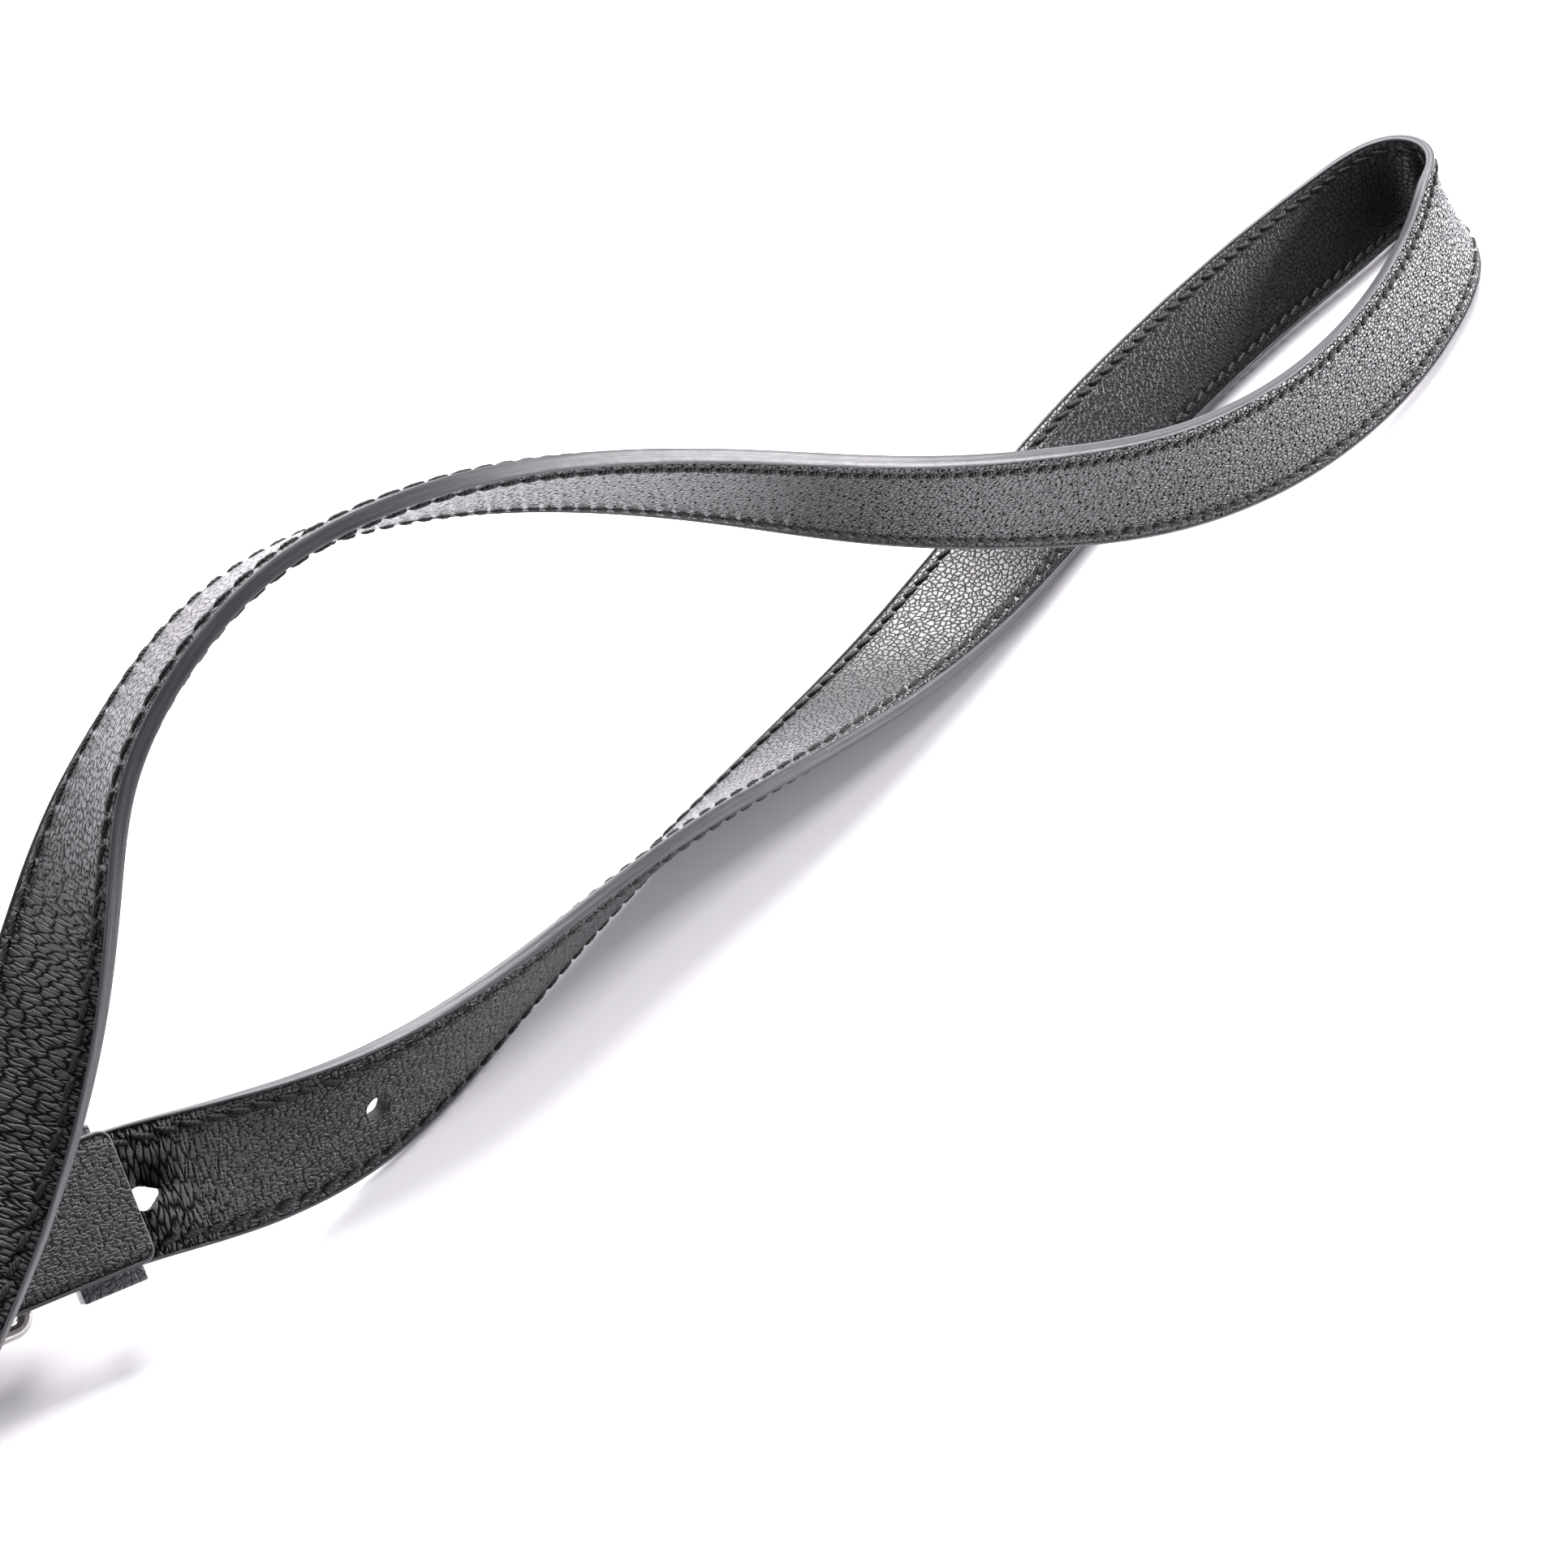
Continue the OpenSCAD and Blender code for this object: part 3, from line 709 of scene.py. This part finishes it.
def one_stitch():
    """A single stitch, 1 long and 1 wide: a fat lens of thread that dives at both ends."""
    bpy.ops.mesh.primitive_uv_sphere_add(segments=6, ring_count=9, radius=0.5)
    stitch = bpy.context.object
    bpy.ops.object.mode_set(mode="EDIT")
    bpy.ops.mesh.select_all(action="SELECT")
    bpy.ops.transform.rotate(value=math.pi / 2, orient_axis="Y", center_override=(0, 0, 0))
    bpy.ops.object.mode_set(mode="OBJECT")
    points = np.array([v.co for v in stitch.data.vertices])
    faces = [tuple(p.vertices) for p in stitch.data.polygons]
    bpy.data.objects.remove(stitch)
    x = points[:, 0]
    full = np.sqrt(np.clip(0.25 - x**2, 0, 1)) * 2
    swell = np.where(full > 0.05, full**0.55 / np.maximum(full, 0.05), 1)
    around = np.arctan2(points[:, 2], points[:, 1])
    twist = 1 + 0.14 * np.sin(2 * around + 16 * x)
    points[:, 1:] *= (swell * twist)[:, None]
    points[:, 2] -= 2.2 * np.clip(abs(x) - 0.3, 0, 1) ** 1.5 * 1.6
    return points, faces


STITCH_POINTS, STITCH_FACES = one_stitch()
STITCH_L, THREAD_W, THREAD_H = 3.2, 1.0, 0.8


def stitch_copies(spots, mapping, length=STITCH_L, width=THREAD_W, height=THREAD_H, slant=0.2,
                  seed=1):
    """Copies of the stitch at spots, each given to mapping as (spot, x, y, z) arrays."""
    dice = random.Random(seed)
    points, faces, uv = [], [], []
    for spot in spots:
        turn = slant + dice.uniform(-0.05, 0.05)
        grow = 1 + dice.uniform(-0.06, 0.06)
        x = STITCH_POINTS[:, 0] * length * grow
        y = STITCH_POINTS[:, 1] * width + x * turn
        z = STITCH_POINTS[:, 2] * height
        base = sum(len(p) for p in points)
        faces += [tuple(k + base for k in face) for face in STITCH_FACES]
        points.append(mapping(spot, x, y, z))
        uv.append(np.stack([x, 2 * y + z], 1))
    return np.concatenate(points), faces, np.concatenate(uv)


def stitch_row(name, node, side, faces_out):
    """One row of lockstitch along one edge, on one face."""
    first = math.ceil(s_of(3.4) / STITCH_PITCH)
    last = int((LENGTH - 10) / STITCH_PITCH)
    spots = [(k + 0.5) * STITCH_PITCH for k in range(first, last)]

    def on_face(spot, x, y, z):
        height = faces_out * (1.40 + z)
        return place(spot + x, side * (STITCH_V + y), height)

    points, faces, uv = stitch_copies(spots, on_face, seed=7 + side + 3 * faces_out)
    if side * faces_out > 0:
        faces = [face[::-1] for face in faces]
    piece = new_piece(name, points, faces, [THREAD], uv=uv, angle=80)
    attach(piece, "strap")
    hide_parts(node)


# ---------------------------------------------------------------- closure


def finish_in_closure(piece, name, body, node, material, angle=40):
    """Moves a piece drawn in the closure's frame, in millimetres, to its place, and rides it."""
    piece.data.transform(closure_matrix)
    piece.name = name
    piece.data.materials.clear()
    piece.data.materials.append(material)
    smooth(piece, angle)
    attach(piece, body)
    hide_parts(node)


def select_faces(test):
    """In edit mode, selects just the faces whose centre and normal pass the test."""
    mesh = bmesh.from_edit_mesh(bpy.context.object.data)
    bpy.ops.mesh.select_all(action="DESELECT")
    for face in mesh.faces:
        face.select_set(test(face.calc_center_median(), face.normal))
    mesh.select_flush_mode()
    bmesh.update_edit_mesh(bpy.context.object.data)


def apply_modifier(piece, kind, **settings):
    """Adds one modifier with its settings and applies it."""
    modifier = piece.modifiers.new(kind.lower(), kind)
    for name, value in settings.items():
        setattr(modifier, name, value)
    bpy.context.view_layer.objects.active = piece
    bpy.ops.object.modifier_apply(modifier=modifier.name)


def box_uv(piece, along=0, across=1):
    """A UV map in metres from two of the piece's own coordinates in millimetres."""
    mesh = piece.data
    while mesh.uv_layers:
        mesh.uv_layers.remove(mesh.uv_layers[0])
    layer = mesh.uv_layers.new(name="UVMap")
    for loop in mesh.loops:
        co = mesh.vertices[loop.vertex_index].co
        layer.data[loop.index].uv = (co[along] * MM, (co[across] + co[3 - along - across]) * MM)


def leather_band(name, body, node, x, width, low, high, thickness):
    """A keeper: a flat band of leather closed round the strap, with turned corners."""
    size = (width, high[0] - low[0] + 2 * thickness, high[1] - low[1] + 2 * thickness)
    middle = (x + width / 2, (low[0] + high[0]) / 2, (low[1] + high[1]) / 2)
    bpy.ops.mesh.primitive_cube_add(size=1, location=middle, scale=size)
    band = bpy.context.object
    bpy.ops.object.transform_apply(location=True, rotation=True, scale=True)
    bpy.ops.object.mode_set(mode="EDIT")
    select_faces(lambda centre, normal: abs(normal.x) > 0.9)
    bpy.ops.mesh.inset(thickness=thickness)
    select_faces(lambda centre, normal: abs(normal.x) > 0.9
                 and abs(centre.y - middle[1]) < 0.5 and abs(centre.z - middle[2]) < 0.5)
    bpy.ops.mesh.bridge_edge_loops()
    bpy.ops.object.mode_set(mode="OBJECT")
    apply_modifier(band, "BEVEL", width=0.42, segments=3, limit_method="ANGLE",
                   angle_limit=math.radians(40), profile=0.6)
    box_uv(band)
    finish_in_closure(band, name, body, node, KEEPER_LEATHER_PAINTED_LIGHTER)


KEEPER_LOW = (-HALF_W - 1.2, HALF_T + 1.15)
KEEPER_HIGH = (HALF_W + 0.3, KEEPER_GAP + HALF_T + 0.6)
SLIDER_LOW = (-HALF_W - 0.3, -HALF_T - 0.5)
SLIDER_HIGH = (HALF_W + 0.3, TIP_GAP + HALF_T + 0.5)


def closure_stitches(name, body, node, spots, turn, flip=1, length=2.6, width=0.6, height=0.5):
    """Stitches in the closure's frame: spots are (x, y, z), turned about the face's normal."""
    c, s = math.cos(turn), math.sin(turn)

    def at(spot, x, y, z):
        local = np.stack([spot[0] + c * x - s * y, spot[1] + s * x + c * y, spot[2] + flip * z], 1)
        world = np.array(closure_matrix)
        return local @ world[:3, :3].T + world[:3, 3]

    points, faces, uv = stitch_copies(spots, at, length, width, height, 0.0, 5)
    if flip < 0:
        faces = [face[::-1] for face in faces]
    piece = new_piece(name, points, faces, [THREAD], uv=uv, angle=80)
    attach(piece, body)
    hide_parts(node)


def bar_ends():
    """The buckle's bar, with its two ends headed over."""
    length = FRAME_CLEAR + 2 * WIRE_D + 0.6
    bpy.ops.mesh.primitive_cylinder_add(
        vertices=40, radius=BAR_D / 2, depth=length, location=(BAR_AT[0], 0, BAR_AT[1]),
        rotation=(math.pi / 2, 0, 0))
    bar = bpy.context.object
    bpy.ops.object.transform_apply(location=True, rotation=True, scale=True)
    bpy.ops.object.mode_set(mode="EDIT")
    select_faces(lambda centre, normal: abs(normal.y) > 0.9)
    bpy.ops.mesh.inset(thickness=0.5)
    bpy.ops.mesh.extrude_region_shrink_fatten(TRANSFORM_OT_shrink_fatten={"value": 0.12})
    bpy.ops.object.mode_set(mode="OBJECT")
    apply_modifier(bar, "BEVEL", width=0.25, segments=3, limit_method="ANGLE",
                   angle_limit=math.radians(40))
    finish_in_closure(bar, "buckle_bar_pin", "strap", "buckle_bar", NICKEL)


def wire(points, depth, cyclic=False, radii=None):
    """A round wire through points (x, y, z), as a mesh."""
    curve = bpy.data.curves.new("wire", "CURVE")
    curve.dimensions = "3D"
    curve.bevel_depth = depth
    curve.bevel_resolution = 6
    curve.use_fill_caps = not cyclic
    spline = curve.splines.new("POLY")
    spline.points.add(len(points) - 1)
    for k, point in enumerate(points):
        spline.points[k].co = (*point, 1)
        spline.points[k].radius = radii[k] if radii else 1
    spline.use_cyclic_u = cyclic
    rod = bpy.data.objects.new("wire", curve)
    bpy.context.scene.collection.objects.link(rod)
    bpy.ops.object.select_all(action="DESELECT")
    bpy.context.view_layer.objects.active = rod
    rod.select_set(True)
    bpy.ops.object.convert(target="MESH")
    return bpy.context.object


def eye(x, y, z, inner, outer, width):
    """A ring round the bar with a rounded section, drawn out to its width along the bar."""
    bpy.ops.mesh.primitive_torus_add(
        major_radius=(inner + outer) / 2, minor_radius=(outer - inner) / 2, major_segments=48,
        minor_segments=16, rotation=(math.pi / 2, 0, 0), location=(x, y, z))
    ring = bpy.context.object
    bpy.ops.object.transform_apply(location=True, rotation=True, scale=True)
    bpy.ops.object.mode_set(mode="EDIT")
    bpy.ops.mesh.select_all(action="SELECT")
    bpy.ops.transform.resize(
        value=(1, width / (outer - inner), 1), center_override=(x, y, z), orient_type="GLOBAL")
    bpy.ops.object.mode_set(mode="OBJECT")
    return ring


def join(pieces):
    """The pieces as one, under the first one's name."""
    bpy.ops.object.select_all(action="DESELECT")
    for piece in pieces:
        piece.select_set(True)
    bpy.context.view_layer.objects.active = pieces[0]
    bpy.ops.object.join()
    return bpy.context.object


def buckle_frame():
    """A heel-bar frame bent from round wire, with an eye at each end that turns on the bar."""
    y = FRAME_CLEAR / 2 + WIRE_D / 2
    corner = 2.2
    bar, far = Vector((BAR_AT[0], 0, BAR_AT[1])), Vector((END_BAR_AT[0], 0, END_BAR_AT[1]))
    back = (far - bar).normalized()
    path = [bar + back * 2 + Vector((0, -y, 0))]
    for turn in (-1, 1):
        centre = far - back * corner + Vector((0, turn * (y - corner), 0))
        sweep = [k * math.pi / 2 / 8 for k in range(9)]
        for a in sweep if turn < 0 else reversed(sweep):
            path.append(centre + back * corner * math.sin(a)
                        + Vector((0, turn * corner * math.cos(a), 0)))
    path.append(bar + back * 2 + Vector((0, y, 0)))
    bent = wire(path, WIRE_D / 2)
    eyes = [eye(BAR_AT[0], s * y, BAR_AT[1], BAR_D / 2 + 0.05, BAR_D / 2 + 1.1, WIRE_D)
            for s in (-1, 1)]
    finish_in_closure(join([bent] + eyes), "buckle_frame_wire", "frame", "buckle_frame",
                      NICKEL)


def prong():
    """The prong: a pointed wire with its eye round the bar."""
    path = np.array([(x, 0, z) for x, z in PRONG_PATH])
    t = np.linspace(0, len(path) - 1, 41)
    k = np.clip(t.astype(int), 0, len(path) - 2)
    f = (t - k)[:, None]
    points = path[k] * (1 - f) + path[k + 1] * f
    for _ in range(6):
        points[1:-1] = (points[:-2] + 2 * points[1:-1] + points[2:]) / 4
    radii = [1 - 0.45 * max(0, q - 3) ** 1.5 for q in t]
    pin = wire([tuple(p) for p in points], PRONG_D / 2, radii=radii)
    ring = eye(BAR_AT[0], 0, BAR_AT[1], BAR_D / 2 + 0.05, BAR_D / 2 + 1.05, 3)
    finish_in_closure(join([pin, ring]), "prong_wire", "prong", "buckle_prong", NICKEL)


def chape():
    """Leather folded round the bar, with a slot for the prong, and its two legs together."""
    middle_r = CHAPE_INNER_R + CHAPE_T / 2
    low = BAR_AT[1] - middle_r
    path = [(x, low) for x in (CHAPE_END, CHAPE_END - 6, CHAPE_END - 12, BAR_AT[0] + 4)]
    for k in range(13):
        a = math.pi * 1.5 - math.pi * 1.08 * k / 12
        path.append((BAR_AT[0] + middle_r * math.cos(a), BAR_AT[1] + middle_r * math.sin(a)))
    path += [(BAR_AT[0] + 4, BAR_AT[1] + 1.1), (BAR_AT[0] + 9, low + CHAPE_T + 0.35),
             (BAR_AT[0] + 14, low + CHAPE_T + 0.05), (CHAPE_END, low + CHAPE_T + 0.05)]
    edge = CHAPE_W / 2
    columns = [-edge, 0.4 - edge, -6, -2.3, 2.3, 6, edge - 0.4, edge]
    points = [(x, y, z) for x, z in path for y in columns]
    m = len(columns)
    slot_from, slot_to = 3, len(path) - 5
    faces = [
        (i * m + j, i * m + j + 1, (i + 1) * m + j + 1, (i + 1) * m + j)
        for i in range(len(path) - 1) for j in range(m - 1)
        if not (j == 3 and slot_from <= i < slot_to)
    ]
    mesh = bpy.data.meshes.new("fold")
    mesh.from_pydata(points, [], faces)
    fold = bpy.data.objects.new("fold", mesh)
    bpy.context.scene.collection.objects.link(fold)
    bpy.context.view_layer.objects.active = fold
    fold.select_set(True)
    apply_modifier(fold, "SOLIDIFY", thickness=CHAPE_T - 0.1, offset=0)
    apply_modifier(fold, "BEVEL", width=0.25, segments=2, limit_method="ANGLE",
                   angle_limit=math.radians(60))
    apply_modifier(fold, "SUBSURF", levels=1, render_levels=1)
    box_uv(fold)
    finish_in_closure(fold, "chape_leather", "strap", "chape", LINING, 50)


# ---------------------------------------------------------------- stage


# Nearly white, with a trace less green
LAMP_COLOUR = (1, 0.972, 1.004)
LENS, SENSOR_W = 84.1, 36
CAMERA_DISTANCE, CAMERA_ELEVATION = 0.6, math.radians(45)


def camera():
    """A long lens from in front and above, at the route's own zero point."""
    target = Vector(SHIFT * MM)
    data = bpy.data.cameras.new("camera")
    data.lens, data.sensor_width = LENS, SENSOR_W
    data.clip_start, data.clip_end = 0.01, 20
    eye_point = bpy.data.objects.new("camera", data)
    bpy.context.scene.collection.objects.link(eye_point)
    back = Vector((0, -math.cos(CAMERA_ELEVATION), math.sin(CAMERA_ELEVATION)))
    eye_point.location = target + back * CAMERA_DISTANCE
    eye_point.rotation_euler = (-back).to_track_quat("-Z", "Y").to_euler()
    bpy.context.scene.camera = eye_point


def softbox(name, location, aim, width, height, power):
    """A soft lamp, in metres and watts, turned to face a point."""
    data = bpy.data.lights.new(name, "AREA")
    data.shape, data.size, data.size_y, data.energy = "RECTANGLE", width, height, power
    data.color = LAMP_COLOUR
    lamp = bpy.data.objects.new(name, data)
    bpy.context.scene.collection.objects.link(lamp)
    lamp.location = location
    lamp.rotation_euler = (Vector(aim) - Vector(location)).to_track_quat("-Z", "Y").to_euler()


def stage():
    """A white table under soft light that comes mostly from behind."""
    bpy.ops.mesh.primitive_plane_add(size=8, location=(0, 0, -0.0002))
    table = bpy.context.object
    table.name = "table"
    paper = Finish("white_table")
    paper.shader.inputs["Base Color"].default_value = linear("#f1f1f3")
    paper.shader.inputs["Roughness"].default_value = 0.9
    table.data.materials.append(paper.material)
    softbox("back_softbox", (-0.35, 1.15, 1.2), (0, 0, 0), 1.5, 1.2, 95)
    softbox("side_softbox", (1.6, 0.85, 0.26), (0, 0, 0.05), 1.4, 0.42, 58)
    softbox("top_softbox", (0.1, 0.1, 1.6), (0, 0, 0), 0.9, 0.9, 16)
    world = bpy.data.worlds.new("studio")
    bpy.context.scene.world = world
    world.use_nodes = True
    world.node_tree.nodes["Background"].inputs["Color"].default_value = linear("#f6f0f8")
    world.node_tree.nodes["Background"].inputs["Strength"].default_value = 0.33
    bpy.context.scene.view_settings.view_transform = "Standard"


camera()
stage()
outer_leather()
lining_leather()
reinforcement()
painted_edge("upper_edge_skin", "edge_paint_upper", -1)
painted_edge("lower_edge_skin", "edge_paint_lower", 1)
stitch_row("upper_row_outer_stitches", "stitching_upper", -1, 1)
stitch_row("upper_row_lining_stitches", "stitching_upper", -1, -1)
stitch_row("lower_row_outer_stitches", "stitching_lower", 1, 1)
stitch_row("lower_row_lining_stitches", "stitching_lower", 1, -1)
leather_band("sewn_keeper_band", "strap", "fixed_keeper", KEEPER_X, KEEPER_W, KEEPER_LOW,
             KEEPER_HIGH, KEEPER_T - 0.15)
closure_stitches("sewn_keeper_thread", "strap", "keeper_stitching",
                 [(x, y, KEEPER_LOW[1]) for x in (KEEPER_X + 1.8, KEEPER_X + KEEPER_W - 1.8)
                  for y in (-3.6, 0, 3.6)], math.pi / 2, height=0.3)
leather_band("sliding_keeper_band", "slider", "sliding_keeper", SLIDER_X, SLIDER_W, SLIDER_LOW,
             SLIDER_HIGH, KEEPER_T)
closure_stitches("sliding_keeper_thread", "slider", "slider_stitching",
                 [(SLIDER_X + SLIDER_W / 2 + 2.5 * k, 0, SLIDER_HIGH[1] + KEEPER_T)
                  for k in (-1, 0, 1)], math.pi / 2, length=4)
chape()
closure_stitches("chape_thread", "strap", "chape_stitching",
                 [(CHAPE_END - d, y, BAR_AT[1] - CHAPE_INNER_R + CHAPE_T)
                  for d in (9, 5.5, 2) for y in (-6, 6)], 0, length=2.8)
bar_ends()
buckle_frame()
prong()
